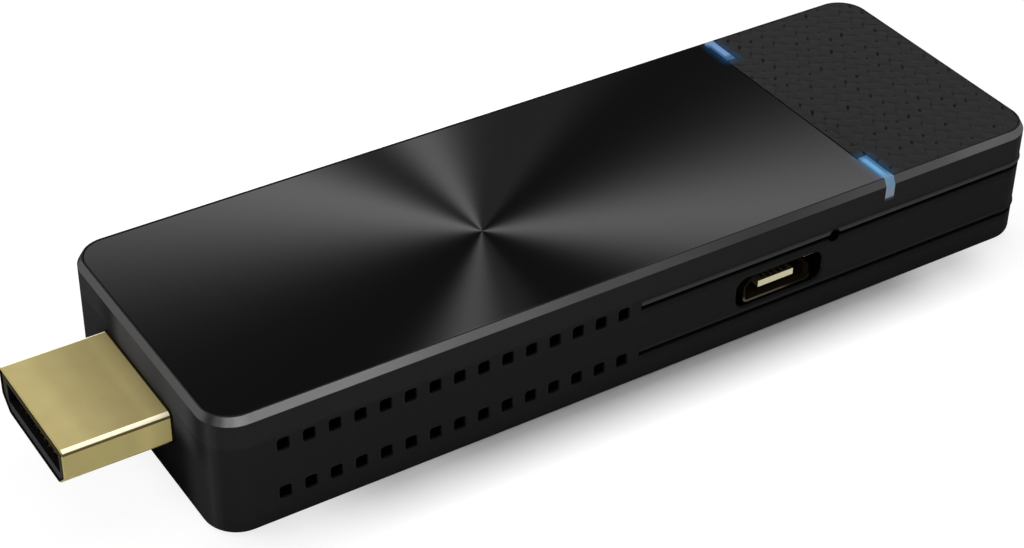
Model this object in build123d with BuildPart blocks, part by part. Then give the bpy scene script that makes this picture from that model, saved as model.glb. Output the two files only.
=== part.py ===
import os

from build123d import *

# Wireless display dongle, in millimetres. It lies flat: the video plug points to -X, the woven panel is
# at the +X end, the vents and the power socket face -Y, and the underside is at height 0. The origin is
# in the middle of the whole outline, plug and lips included.

# Body
body_length = 91.5
body_width = 30.5
body_height = 13.0
corner_radius = 3.4
wall = 1.3
floor_thickness = 1.2
underside_radius = 0.8
rim_bevel_in = 0.42
rim_bevel_down = 0.76
rim_land = 0.15
least_radius = 0.3

# Parting lines between the three mouldings. Behind the vents each is a groove under a slightly proud lip
upper_line = 8.75
lower_line = 3.4
groove_height = 0.56
groove_depth = 0.45
lip_reach = 0.1
lip_height = 0.43
groove_after_last_vent = 1.9

# Vents
vent_count = 15
vent_pitch = 2.51
vent_width = 1.25
vent_height = 1.35
vent_corner = 0.3
first_vent = 6.45

# Top skins
plate_thickness = 0.6
adhesive_thickness = 0.15
ceiling_thickness = 1.2
skin_gap = 0.05
skin_edge = 0.08
adhesive_inset = 0.8
divider_from_rear = 19.5

# Light bars
bar_width = 1.1
bar_top_reach = 4.55
bar_side_reach = 2.45
leg_width = 1.6
leg_from_wall = 0.45
light_gap = 0.1
light_length = 1.6
light_width = 0.8
light_height = 0.6
light_lens = 0.3
lens_draft = 8

# Video plug, type A, 19 contacts
plug_reach = 10.3
plug_width = 13.9
plug_height = 4.45
plug_side = 3.05
plug_bottom_width = 11.0
plug_radius = 0.5
plug_wall = 0.3
plug_mid_level = 6.8
plug_inside = 5.0
plug_hole_gap = 0.12
plug_mouth_edge = 0.12
insulator_recess = 0.15
insulator_gap = 0.02
plug_slot_width = 11.4
plug_slot_height = 2.0
plug_slot_depth = 8.0
plug_contact_width = 0.45
plug_contact_thickness = 0.2
plug_contact_pitch = 1.0
plug_contact_front = 0.5
plug_upper_contacts = 10
plug_lower_contacts = 9
plug_tail = 3.0
bracket_thickness = 0.3
bracket_length = 2.6
bracket_from_wall = 0.4
bracket_tab_height = 1.2
bracket_foot_width = 1.5
bracket_foot_length = 3.0

# Circuit board
board_thickness = 1.6
board_gap = 0.3
board_plug_gap = 0.3

# Power socket, small type B, five contacts
socket_from_rear = 31.7
socket_drop = 1.0
socket_width = 7.6
socket_height = 2.7
socket_bevel = 1.1
socket_radius = 0.3
socket_wall = 0.25
socket_depth = 5.2
socket_setback = 0.45
socket_flare = 0.2
socket_flare_depth = 0.5
socket_notch_gap = 0.15
slot_side_gap = 1.15
slot_height_gap = 0.1
slot_radius = 1.2
slot_bevel = 0.15
ear_length = 1.1
ear_width = 1.6
ear_thickness = 0.25
tongue_width = 4.2
tongue_thickness = 0.7
tongue_setback = 0.25
tongue_back = 1.2
socket_contacts_count = 5
socket_contact_pitch = 0.65
socket_contact_width = 0.42
socket_contact_thickness = 0.12
socket_contact_front = 0.2
socket_tail = 0.8

# Reset switch
reset_from_socket = 6.25
reset_hole_radius = 0.55
switch_length = 3.5
switch_depth = 2.8
switch_height = 2.0
switch_inset = 1.0
switch_cover_thickness = 0.15
plunger_width = 1.5
plunger_height = 0.9
plunger_reach = 0.8
plunger_inside = 1.2
plunger_gap = 0.05
plunger_travel = 0.25
plunger_stop_gap = 0.1
plunger_radius = 0.15

# Screws, bosses and locating posts
screw_from_front = 12.0
screw_from_rear = 13.0
screw_from_side = 5.05
screw_radius = 0.8
screw_end_level = 2.0
screw_head_radius = 1.5
screw_head_height = 0.8
screw_head_gap = 0.05
screw_head_edge = 0.25
screw_tip = 0.4
screw_clearance = 0.15
pilot_clearance = 0.05
pilot_end_gap = 0.3
driver_radius = 0.6
driver_depth = 0.45
boss_radius = 2.1
post_length = 3.0
post_thickness = 0.8
post_reach = 1.0
post_gap = 0.05
post_board_gap = 0.3
post_after_line = 3.0
post_from_side = 4.75
post_rear_side = 7.0
floor_rib_height = 0.6
floor_rib_width = 0.8
floor_rib_count = 5

# Parts on the board, in order from the plug to the rear: their lengths along the board
capacitor_length = 1.0
memory_length = 8.0
processor_length = 14.0
flash_length = 11.0
power_length = 5.0
radio_length = 12.0
capacitor_width = 0.5
capacitor_height = 0.5
capacitor_pitch = 1.4
capacitor_count = 6
memory_width = 6.0
memory_height = 1.0
memory_gap = 0.8
processor_height = 1.2
flash_width = 8.0
flash_height = 1.0
flash_side = -2.5
crystal_length = 3.2
crystal_width = 2.5
crystal_height = 0.8
crystal_gap = 1.0
power_height = 0.9
power_side = -4.0
inductor_length = 4.0
inductor_height = 1.8
inductor_gap = 0.8
radio_width = 11.0
radio_height = 1.9
radio_wall = 0.2
radio_corner = 0.4
radio_chip_size = 6.0
radio_chip_height = 0.9
chip_edge = 0.12
pad_thickness = 0.5
spreader_width = 15.0
spreader_corner = 1.0
antenna_length = 12.0
antenna_ceiling_gap = 0.85
antenna_strip = 1.0
antenna_thickness = 0.3
antenna_leg = 0.9
antenna_leg_pitch = 4.0
antenna_from_rear = 3.2
antenna_inset = 0.35

# How far a cut runs past the face that it opens
cut_margin = 0.5

# Places worked out from the sizes above
front = (plug_reach - body_length - lip_reach) / 2
rear = front + body_length
body_middle = front + body_length / 2
side = body_width / 2
inner_side = side - wall
screw_side = side - screw_from_side
post_front_side = side - post_from_side
plug_tip = front - plug_reach
line_start = front + first_vent + (vent_count - 1) * vent_pitch + groove_after_last_vent
vent_row_middle = front + first_vent + (vent_count - 1) * vent_pitch / 2
recess_level = body_height - plate_thickness - adhesive_thickness
ceiling_level = recess_level - ceiling_thickness
skin_inset = rim_bevel_in + rim_land
divider = rear - divider_from_rear
bar_middle = divider + skin_gap + bar_width / 2
board_top = plug_mid_level + board_thickness / 2
board_bottom = plug_mid_level - board_thickness / 2
board_side = inner_side - board_gap
antenna_height = ceiling_level - antenna_ceiling_gap - board_top
board_front = front + plug_inside + board_plug_gap
board_rear = rear - wall - board_gap
plug_bottom_level = plug_mid_level - plug_height / 2
plug_top_level = plug_mid_level + plug_height / 2
socket_middle = rear - socket_from_rear
socket_level = plug_mid_level - socket_drop
socket_mouth = side - socket_setback
socket_back = socket_mouth - socket_depth
reset_middle = socket_middle + reset_from_socket
screw_places = [
    (x, y)
    for x in (front + screw_from_front, rear - screw_from_rear)
    for y in (-screw_side, screw_side)
]
screw_seat = recess_level - screw_head_height - screw_head_gap

# Places along the board: the free length is shared out evenly between the parts
strip_start = board_front + plug_tail
row_lengths = [capacitor_length, memory_length, processor_length, flash_length, power_length, radio_length]
row_gap = (board_rear - strip_start - sum(row_lengths)) / (len(row_lengths) + 1)
row_middles = []
row_end = strip_start
for row_length in row_lengths:
    row_middles.append(row_end + row_gap + row_length / 2)
    row_end += row_gap + row_length
capacitor_x, memory_x, processor_x, flash_x, power_x, radio_x = row_middles
spreader_start = memory_x - memory_length / 2
spreader_end = flash_x + flash_length / 2
spreader_level = board_top + processor_height + pad_thickness


def outline(growth):
    """Rounded plan outline of the body, grown by a margin, on the open sketch."""
    radius = max(corner_radius + growth, least_radius)
    with Locations((body_middle, 0)):
        RectangleRounded(body_length + 2 * growth, body_width + 2 * growth, radius)


def block(x_range, y_range, z_range, mode=Mode.ADD):
    """Block between two corners, in the open part."""
    ranges = (x_range, y_range, z_range)
    with Locations(tuple((low + high) / 2 for low, high in ranges)):
        Box(*(high - low for low, high in ranges), mode=mode)


def package(x, y, length, width, height):
    """Moulded package that lies on the board, with its upper edges broken, in the open part."""
    block((x - length / 2, x + length / 2), (y - width / 2, y + width / 2), (board_top, board_top + height))
    chamfer(faces().sort_by(Axis.Z)[-1].edges(), chip_edge)


def line_lip(line):
    """Lip over the groove of a parting line: proud at its foot, flush with the wall at its top."""
    foot = line + groove_height / 2
    with BuildPart() as lip:
        with BuildSketch(Plane.XY.offset(foot)):
            outline(lip_reach)
        with BuildSketch(Plane.XY.offset(foot + lip_height)):
            outline(0)
        loft(ruled=True)
        split(bisect_by=Plane.YZ.offset(line_start), keep=Keep.TOP)
    return lip.part


def line_groove(line):
    """Groove along a parting line, half in the upper moulding and half in the lower one."""
    with BuildPart() as groove:
        with BuildSketch(Plane.XY.offset(line - groove_height / 2)):
            outline(cut_margin)
            with Locations((body_middle, 0)):
                RectangleRounded(
                    body_length - 2 * groove_depth,
                    body_width - 2 * groove_depth,
                    corner_radius - groove_depth,
                    mode=Mode.SUBTRACT,
                )
        extrude(amount=groove_height)
        split(bisect_by=Plane.YZ.offset(line_start), keep=Keep.TOP)
    return groove.part


def vent_cuts(level):
    """One row of vents through both long walls."""
    with BuildPart() as cuts:
        with BuildSketch(Plane.XZ.offset(inner_side - cut_margin)):
            with Locations((vent_row_middle, level)):
                with GridLocations(vent_pitch, 0, vent_count, 1):
                    RectangleRounded(vent_width, vent_height, vent_corner)
        extrude(amount=wall + 2 * cut_margin)
        mirror(about=Plane.XZ)
    return cuts.part


def screw_cylinders(radius, bottom, top):
    """One cylinder on each screw's axis."""
    with BuildPart() as cylinders:
        with BuildSketch(Plane.XY.offset(bottom)):
            with Locations(*screw_places):
                Circle(radius)
        extrude(amount=top - bottom)
    return cylinders.part


def locating_posts(bottom, top):
    """Posts that stand just inside the walls and centre the mouldings on each other."""
    side_y = inner_side - post_gap - post_thickness / 2
    front_x = front + wall + post_gap + post_thickness / 2
    rear_x = rear - wall - post_gap - post_thickness / 2
    with BuildPart() as posts:
        with BuildSketch(Plane.XY.offset(bottom)):
            with Locations((line_start + post_after_line, -side_y), (line_start + post_after_line, side_y)):
                Rectangle(post_length, post_thickness)
            with Locations((front_x, -post_front_side), (front_x, post_front_side)):
                Rectangle(post_thickness, post_length)
            with Locations((rear_x, -post_rear_side), (rear_x, post_rear_side)):
                Rectangle(post_thickness, post_length)
        extrude(amount=top - bottom)
    return posts.part


def plug_section(growth=0.0):
    """D outline of the video plug, wide side up, on a sketch square to X."""
    side_foot = plug_top_level - plug_side
    corners = [
        (-plug_width / 2, plug_top_level),
        (plug_width / 2, plug_top_level),
        (plug_width / 2, side_foot),
        (plug_bottom_width / 2, plug_bottom_level),
        (-plug_bottom_width / 2, plug_bottom_level),
        (-plug_width / 2, side_foot),
    ]
    with BuildSketch(Plane.XY) as section:
        with BuildLine():
            Polyline(*corners, close=True)
        make_face()
        fillet(section.vertices(), plug_radius)
        if growth:
            offset(amount=growth)
    return section.sketch


def plug_contact_bars():
    """Contacts of the video plug: one row over the board and one under it, half a pitch apart."""
    bar_front = plug_tip + insulator_recess + plug_contact_front
    bar_end = front + plug_inside + plug_tail
    rows = [
        (plug_upper_contacts, board_top),
        (plug_lower_contacts, board_bottom - plug_contact_thickness),
    ]
    with BuildPart() as bars:
        for count, level in rows:
            with BuildSketch(Plane.XY.offset(level)):
                with Locations(((bar_front + bar_end) / 2, 0)):
                    with GridLocations(0, plug_contact_pitch, 1, count):
                        Rectangle(bar_end - bar_front, plug_contact_width)
            extrude(amount=plug_contact_thickness)
    return bars.part


def socket_section(growth=0.0):
    """D outline of the power socket, wide side down, on a sketch square to Y."""
    half_width = socket_width / 2
    half_height = socket_height / 2
    corners = [
        (-half_width, -half_height),
        (half_width, -half_height),
        (half_width, half_height - socket_bevel),
        (half_width - socket_bevel, half_height),
        (socket_bevel - half_width, half_height),
        (-half_width, half_height - socket_bevel),
    ]
    with BuildSketch(Plane.XY) as section:
        with BuildLine():
            Polyline(*corners, close=True)
        make_face()
        fillet(section.vertices(), socket_radius)
        if growth:
            offset(amount=growth)
    return Pos(socket_middle, socket_level) * section.sketch


def light_bar_profile():
    """Light bar seen along X: over the cover, down the wall, and a leg towards the board."""
    leg_outer = inner_side - leg_from_wall
    leg_inner = leg_outer - leg_width
    leg_foot = board_top + light_height + light_gap
    corners = [
        (side - bar_top_reach, body_height),
        (side - rim_bevel_in, body_height),
        (side, body_height - rim_bevel_down),
        (side, body_height - bar_side_reach),
        (inner_side, body_height - bar_side_reach),
        (inner_side, ceiling_level),
        (leg_outer, ceiling_level),
        (leg_outer, leg_foot),
        (leg_inner, leg_foot),
        (leg_inner, ceiling_level),
        (side - bar_top_reach, ceiling_level),
    ]
    with BuildSketch(Plane.XY) as profile:
        with BuildLine():
            Polyline(*corners, close=True)
        make_face()
    return profile.sketch


def far_light_bar_solid():
    """Light bar of the +Y side."""
    with BuildPart() as bar:
        with BuildSketch(Plane.YZ.offset(bar_middle - bar_width / 2)):
            add(light_bar_profile())
        extrude(amount=bar_width)
    return bar.part


def skin_sheet(retreat, bottom, thickness):
    """Flat sheet over the whole top recess, set back from its walls."""
    with BuildPart() as sheet:
        with BuildSketch(Plane.XY.offset(bottom)):
            outline(-skin_inset - retreat)
        extrude(amount=thickness)
    return sheet.part


def front_skin(retreat, bottom, thickness):
    """Sheet between the plug end and the divider."""
    with BuildPart() as skin:
        add(skin_sheet(retreat, bottom, thickness))
        split(bisect_by=Plane.YZ.offset(divider - retreat), keep=Keep.BOTTOM)
    return skin.part


def rear_skin(retreat, bottom, thickness):
    """Sheet behind the divider, notched round both light bars."""
    bar_x = (divider, bar_middle + bar_width / 2 + retreat)
    bar_z = (bottom - cut_margin, bottom + thickness + cut_margin)
    with BuildPart() as skin:
        add(skin_sheet(retreat, bottom, thickness))
        split(bisect_by=Plane.YZ.offset(divider + retreat), keep=Keep.TOP)
        for y_sign in (-1, 1):
            bar_y = sorted((y_sign * (side - bar_top_reach - retreat), y_sign * (side + cut_margin)))
            block(bar_x, bar_y, bar_z, Mode.SUBTRACT)
    return skin.part


upper_groove = line_groove(upper_line)
lower_groove = line_groove(lower_line)
upper_vents = vent_cuts(upper_line)
lower_vents = vent_cuts(lower_line)

with BuildPart() as reset_hole:
    with BuildSketch(Plane.XZ.offset(inner_side - cut_margin)):
        with Locations((reset_middle, upper_line)):
            Circle(reset_hole_radius)
    extrude(amount=wall + 2 * cut_margin)

with BuildPart() as plug_hole:
    with BuildSketch(Plane.YZ.offset(front - cut_margin)):
        add(plug_section(plug_hole_gap))
    extrude(amount=wall + 2 * cut_margin)

far_bar = far_light_bar_solid()
near_bar = mirror(far_bar, about=Plane.XZ)

# Upper moulding: bevelled rim, recess for the skins, screw bosses and posts
with BuildPart() as top_cover:
    with BuildSketch(Plane.XY.offset(upper_line)):
        outline(0)
    extrude(amount=body_height - upper_line)
    roof = top_cover.faces().sort_by(Axis.Z)[-1]
    chamfer(roof.edges(), rim_bevel_in, rim_bevel_down, reference=roof)
    add(line_lip(upper_line))
    add(upper_groove, mode=Mode.SUBTRACT)
    with BuildSketch(Plane.XY.offset(upper_line)):
        outline(-wall)
    extrude(amount=ceiling_level - upper_line, mode=Mode.SUBTRACT)
    with BuildSketch(Plane.XY.offset(recess_level)):
        outline(-skin_inset)
    extrude(amount=body_height - recess_level, mode=Mode.SUBTRACT)
    add(screw_cylinders(boss_radius, board_top, ceiling_level))
    add(locating_posts(board_top + post_board_gap, ceiling_level))
    add(screw_cylinders(screw_radius + screw_clearance, board_top, recess_level), mode=Mode.SUBTRACT)
    add(screw_cylinders(screw_head_radius + screw_clearance, screw_seat, recess_level), mode=Mode.SUBTRACT)
    add(upper_vents, mode=Mode.SUBTRACT)
    add(plug_hole.part, mode=Mode.SUBTRACT)
    add(reset_hole.part, mode=Mode.SUBTRACT)
    add([near_bar, far_bar], mode=Mode.SUBTRACT)

# Middle moulding: a ring with the slot of the power socket
slot_width = socket_width + 2 * (socket_flare + slot_side_gap)
slot_height = socket_height + 2 * (socket_flare + slot_height_gap)
with BuildPart() as socket_slot:
    with BuildSketch(Plane.XZ.offset(inner_side - cut_margin)):
        with Locations((socket_middle, socket_level)):
            RectangleRounded(slot_width, slot_height, slot_radius)
    extrude(amount=wall + 2 * cut_margin)
    with BuildSketch(Plane.XZ.offset(side)) as slot_rim:
        with Locations((socket_middle, socket_level)):
            RectangleRounded(
                slot_width + 2 * slot_bevel,
                slot_height + 2 * slot_bevel,
                slot_radius + slot_bevel,
            )
    extrude(amount=-slot_bevel, taper=45)
    extrude(slot_rim.sketch, amount=cut_margin)

with BuildPart() as middle_frame:
    with BuildSketch(Plane.XY.offset(lower_line)):
        outline(0)
    extrude(amount=upper_line - lower_line)
    add(line_lip(lower_line))
    add([upper_groove, lower_groove], mode=Mode.SUBTRACT)
    with BuildSketch(Plane.XY.offset(lower_line)):
        outline(-wall)
    extrude(amount=upper_line - lower_line, mode=Mode.SUBTRACT)
    add(upper_vents, mode=Mode.SUBTRACT)
    add(lower_vents, mode=Mode.SUBTRACT)
    add(plug_hole.part, mode=Mode.SUBTRACT)
    add(socket_slot.part, mode=Mode.SUBTRACT)
    add(reset_hole.part, mode=Mode.SUBTRACT)

# Lower moulding: a tray with bosses for the screws, ribs and posts
with BuildPart() as bottom_cover:
    with BuildSketch(Plane.XY):
        outline(0)
    extrude(amount=lower_line)
    fillet(bottom_cover.faces().sort_by(Axis.Z)[0].edges(), underside_radius)
    add(lower_groove, mode=Mode.SUBTRACT)
    with BuildSketch(Plane.XY.offset(floor_thickness)):
        outline(-wall)
    extrude(amount=lower_line - floor_thickness, mode=Mode.SUBTRACT)
    with BuildSketch(Plane.XY.offset(floor_thickness)):
        rib_pitch = (body_length - 2 * wall) / (floor_rib_count + 1)
        with Locations((body_middle, 0)):
            with GridLocations(rib_pitch, 0, floor_rib_count, 1):
                Rectangle(floor_rib_width, body_width - 2 * wall)
    extrude(amount=floor_rib_height)
    add(screw_cylinders(boss_radius, floor_thickness, board_bottom))
    add(locating_posts(floor_thickness, lower_line + post_reach))
    pilot_bottom = screw_end_level - pilot_end_gap
    add(screw_cylinders(screw_radius + pilot_clearance, pilot_bottom, board_bottom), mode=Mode.SUBTRACT)
    add(lower_vents, mode=Mode.SUBTRACT)

# Skins and the sheets that hold them
with BuildPart() as spun_plate:
    add(front_skin(skin_gap, body_height - plate_thickness, plate_thickness))
    chamfer(spun_plate.faces().sort_by(Axis.Z)[-1].edges(), skin_edge)

with BuildPart() as textured_panel:
    add(rear_skin(skin_gap, body_height - plate_thickness, plate_thickness))
    chamfer(textured_panel.faces().sort_by(Axis.Z)[-1].edges(), skin_edge)

with BuildPart() as plate_adhesive:
    add(front_skin(adhesive_inset, recess_level, adhesive_thickness))

with BuildPart() as panel_adhesive:
    add(rear_skin(adhesive_inset, recess_level, adhesive_thickness))

# Light bars and the light sources under their legs
with BuildPart() as far_light_bar:
    add(far_bar)

with BuildPart() as near_light_bar:
    add(near_bar)


def light_source(y_sign):
    """Light source on the board, under a light bar's leg, with a narrower lens on its base."""
    middle_y = y_sign * (inner_side - leg_from_wall - leg_width / 2)
    with BuildPart() as source:
        with BuildSketch(Plane.XY.offset(board_top)):
            with Locations((bar_middle, middle_y)):
                Rectangle(light_width, light_length)
        extrude(amount=light_height - light_lens)
        with BuildSketch(Plane.XY.offset(board_top + light_height - light_lens)):
            with Locations((bar_middle, middle_y)):
                Rectangle(light_width, light_length - light_lens)
        extrude(amount=light_lens, taper=lens_draft)
    return source.part


with BuildPart() as near_light_source:
    add(light_source(-1))

with BuildPart() as far_light_source:
    add(light_source(1))

# Circuit board: it starts between the plug's tails and is cut out for the power socket
with BuildPart() as main_board:
    with BuildSketch(Plane.XY.offset(board_bottom)):
        outline(-wall - board_gap)
        with Locations(((front + board_front) / 2, 0)):
            Rectangle(board_front - front, body_width, mode=Mode.SUBTRACT)
        notch_back = -socket_back + socket_notch_gap
        with Locations((socket_middle, (notch_back - side) / 2)):
            Rectangle(socket_width + 2 * socket_notch_gap, side + notch_back, mode=Mode.SUBTRACT)
        with Locations(*screw_places):
            Circle(screw_radius + screw_clearance, mode=Mode.SUBTRACT)
    extrude(amount=board_thickness)

# Video plug: drawn shell, moulded insulator with its slot, contacts and the saddle that holds it
with BuildPart() as plug_shell:
    with BuildSketch(Plane.YZ.offset(plug_tip)):
        add(plug_section())
        add(plug_section(-plug_wall), mode=Mode.SUBTRACT)
    extrude(amount=plug_reach + plug_inside)
    mouth = plug_shell.faces().sort_by(Axis.X)[0]
    chamfer(mouth.outer_wire().edges(), plug_mouth_edge)

with BuildPart() as plug_insulator:
    with BuildSketch(Plane.YZ.offset(plug_tip + insulator_recess)):
        add(plug_section(-plug_wall - insulator_gap))
    extrude(amount=plug_reach - insulator_recess + plug_inside)
    with BuildSketch(Plane.YZ.offset(plug_tip + insulator_recess)):
        with Locations((0, plug_mid_level)):
            Rectangle(plug_slot_width, plug_slot_height)
    extrude(amount=plug_slot_depth, mode=Mode.SUBTRACT)
    add(plug_contact_bars(), mode=Mode.SUBTRACT)

with BuildPart() as plug_contacts:
    add(plug_contact_bars())

with BuildPart() as plug_bracket:
    saddle_front = front + wall + bracket_from_wall
    tab_inner = plug_width / 2 + insulator_gap
    tab_outer = tab_inner + bracket_thickness
    foot_end = board_front + bracket_foot_length
    with BuildSketch(Plane.YZ.offset(saddle_front)):
        add(plug_section(insulator_gap + bracket_thickness))
        add(plug_section(insulator_gap), mode=Mode.SUBTRACT)
        with Locations((0, board_bottom)):
            Rectangle(body_width, plug_height, align=(Align.CENTER, Align.MAX), mode=Mode.SUBTRACT)
    extrude(amount=bracket_length)
    for y_sign in (-1, 1):
        tab_y = sorted((y_sign * tab_inner, y_sign * tab_outer))
        foot_y = sorted((y_sign * tab_inner, y_sign * (tab_outer + bracket_foot_width)))
        block((saddle_front, foot_end), tab_y, (board_top, board_top + bracket_tab_height))
        block((board_front, foot_end), foot_y, (board_top, board_top + bracket_thickness))

# Power socket: shell with a flared mouth and ears under the board, tongue and contacts
with BuildPart() as socket_shell:
    with BuildSketch(Plane.XZ.offset(socket_mouth - socket_flare_depth)):
        add(socket_section())
    with BuildSketch(Plane.XZ.offset(socket_mouth)):
        add(socket_section(socket_flare))
    loft(ruled=True)
    with BuildSketch(Plane.XZ.offset(socket_back)):
        add(socket_section())
    extrude(amount=socket_depth - socket_flare_depth)
    with BuildSketch(Plane.XZ.offset(socket_mouth - socket_flare_depth)):
        add(socket_section(-socket_wall))
    with BuildSketch(Plane.XZ.offset(socket_mouth)):
        add(socket_section(socket_flare - socket_wall))
    loft(ruled=True, mode=Mode.SUBTRACT)
    with BuildSketch(Plane.XZ.offset(socket_back)):
        add(socket_section(-socket_wall))
    extrude(amount=socket_depth - socket_flare_depth, mode=Mode.SUBTRACT)
    ear_y = (-socket_back - ear_width, -socket_back)
    ear_z = (board_bottom - ear_thickness, board_bottom)
    for x_sign in (-1, 1):
        ear_root = socket_middle + x_sign * (socket_width / 2 - socket_wall)
        ear_tip = socket_middle + x_sign * (socket_width / 2 + ear_length)
        block(sorted((ear_root, ear_tip)), ear_y, ear_z)


def socket_contact_bars():
    """Contacts along the top of the tongue, flush with it, with tails under the board."""
    bar_front = -socket_mouth + tongue_setback + socket_contact_front
    bar_end = -socket_back + socket_notch_gap + socket_tail
    with BuildPart() as bars:
        with BuildSketch(Plane.XY.offset(board_bottom - socket_contact_thickness)):
            with Locations((socket_middle, (bar_front + bar_end) / 2)):
                with GridLocations(socket_contact_pitch, 0, socket_contacts_count, 1):
                    Rectangle(socket_contact_width, bar_end - bar_front)
        extrude(amount=socket_contact_thickness)
    return bars.part


with BuildPart() as socket_tongue:
    with BuildSketch(Plane.XZ.offset(socket_back)):
        add(socket_section(-socket_wall - insulator_gap))
    extrude(amount=tongue_back)
    block(
        (socket_middle - tongue_width / 2, socket_middle + tongue_width / 2),
        (-socket_mouth + tongue_setback, -socket_back - tongue_back),
        (board_bottom - tongue_thickness, board_bottom),
    )
    add(socket_contact_bars(), mode=Mode.SUBTRACT)

with BuildPart() as socket_contacts:
    add(socket_contact_bars())

# Reset switch: base with a well for the plunger, pressed cover over it, and the plunger behind the hole
switch_front = -board_side + switch_inset
switch_x = (reset_middle - switch_length / 2, reset_middle + switch_length / 2)
plunger_z = (upper_line - plunger_height / 2, upper_line + plunger_height / 2)
plunger_x = (reset_middle - plunger_width / 2, reset_middle + plunger_width / 2)
well_depth = plunger_inside + plunger_travel + plunger_stop_gap

with BuildPart() as reset_switch_base:
    block(switch_x, (switch_front, switch_front + switch_depth), (board_top, board_top + switch_height))
    block(
        (plunger_x[0] - plunger_gap, plunger_x[1] + plunger_gap),
        (switch_front, switch_front + well_depth),
        (plunger_z[0] - plunger_gap, plunger_z[1] + plunger_gap),
        Mode.SUBTRACT,
    )

with BuildPart() as reset_switch_cover:
    cover_top = board_top + switch_height
    cover_y = (switch_front, switch_front + switch_depth)
    block(
        (switch_x[0] - switch_cover_thickness, switch_x[1] + switch_cover_thickness),
        cover_y,
        (board_top + switch_height / 2, cover_top + switch_cover_thickness),
    )
    block(switch_x, cover_y, (board_top, cover_top), Mode.SUBTRACT)

with BuildPart() as reset_plunger:
    block(plunger_x, (switch_front - plunger_reach, switch_front + plunger_inside), plunger_z)
    tip = reset_plunger.faces().sort_by(Axis.Y)[0]
    fillet(tip.edges(), plunger_radius)

# Parts on the board
with BuildPart() as capacitors:
    with BuildSketch(Plane.XY.offset(board_top)):
        with Locations((capacitor_x, 0)):
            with GridLocations(0, capacitor_pitch, 1, capacitor_count):
                Rectangle(capacitor_length, capacitor_width)
    extrude(amount=capacitor_height)

with BuildPart() as memory_chips:
    memory_y = (memory_width + memory_gap) / 2
    with BuildSketch(Plane.XY.offset(board_top)):
        with Locations((memory_x, -memory_y), (memory_x, memory_y)):
            Rectangle(memory_length, memory_width)
    extrude(amount=memory_height)
    chamfer(memory_chips.faces().group_by(Axis.Z)[-1].edges(), chip_edge)

with BuildPart() as processor:
    package(processor_x, 0, processor_length, processor_length, processor_height)

with BuildPart() as thermal_pad:
    with BuildSketch(Plane.XY.offset(board_top + processor_height)):
        with Locations((processor_x, 0)):
            Rectangle(processor_length - 2 * chip_edge, processor_length - 2 * chip_edge)
    extrude(amount=pad_thickness)

with BuildPart() as heat_spreader:
    with BuildSketch(Plane.XY.offset(spreader_level)):
        with Locations(((spreader_start + spreader_end) / 2, 0)):
            RectangleRounded(spreader_end - spreader_start, spreader_width, spreader_corner)
    extrude(amount=ceiling_level - spreader_level)

with BuildPart() as flash_chip:
    package(flash_x, flash_side, flash_length, flash_width, flash_height)

with BuildPart() as crystal:
    crystal_y = flash_side + flash_width / 2 + crystal_gap + crystal_width / 2
    package(flash_x, crystal_y, crystal_length, crystal_width, crystal_height)

with BuildPart() as power_chip:
    package(power_x, power_side, power_length, power_length, power_height)

with BuildPart() as power_inductors:
    first_inductor_y = power_side + power_length / 2 + inductor_gap + inductor_length / 2
    with BuildSketch(Plane.XY.offset(board_top)):
        for inductor in range(2):
            with Locations((power_x, first_inductor_y + inductor * (inductor_length + inductor_gap))):
                Rectangle(inductor_length, inductor_length)
    extrude(amount=inductor_height)
    chamfer(power_inductors.faces().group_by(Axis.Z)[-1].edges(), chip_edge)

with BuildPart() as radio_chip:
    package(radio_x, 0, radio_chip_size, radio_chip_size, radio_chip_height)

with BuildPart() as radio_shield:
    can_x = (radio_x - radio_length / 2, radio_x + radio_length / 2)
    block(can_x, (-radio_width / 2, radio_width / 2), (board_top, board_top + radio_height))
    fillet(radio_shield.edges().filter_by(Axis.Z), radio_corner)
    hollow_x = (can_x[0] + radio_wall, can_x[1] - radio_wall)
    hollow_y = (radio_wall - radio_width / 2, radio_width / 2 - radio_wall)
    block(hollow_x, hollow_y, (board_top, board_top + radio_height - radio_wall), Mode.SUBTRACT)


def antenna(y_sign):
    """Stamped antenna that stands on the board beside the wall: a strip on two legs."""
    strip_end = rear - antenna_from_rear
    strip_middle = strip_end - antenna_length / 2
    outer_y = board_side - antenna_inset
    with BuildPart() as strip:
        with BuildSketch(Plane.XZ.offset(-y_sign * (outer_y - antenna_thickness / 2))):
            with Locations((strip_middle, board_top + antenna_height - antenna_strip / 2)):
                Rectangle(antenna_length, antenna_strip)
            for leg in range(2):
                leg_x = strip_end - antenna_leg / 2 - leg * antenna_leg_pitch
                with Locations((leg_x, board_top)):
                    Rectangle(antenna_leg, antenna_height, align=(Align.CENTER, Align.MIN))
        extrude(amount=antenna_thickness / 2, both=True)
    return strip.part


with BuildPart() as near_antenna:
    add(antenna(-1))

with BuildPart() as far_antenna:
    add(antenna(1))

# Screws: pan heads with a driver recess, plain shanks with a pointed tip
with BuildPart() as housing_screws:
    with BuildSketch(Plane.XY.offset(screw_seat)):
        with Locations(*screw_places):
            Circle(screw_head_radius)
    extrude(amount=screw_head_height)
    fillet(housing_screws.faces().group_by(Axis.Z)[-1].edges(), screw_head_edge)
    add(screw_cylinders(screw_radius, screw_end_level, screw_seat))
    chamfer(housing_screws.faces().group_by(Axis.Z)[0].edges(), screw_tip)
    with BuildSketch(Plane.XY.offset(screw_seat + screw_head_height)):
        with Locations(*screw_places):
            RegularPolygon(driver_radius, 6)
    extrude(amount=-driver_depth, mode=Mode.SUBTRACT)

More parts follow.
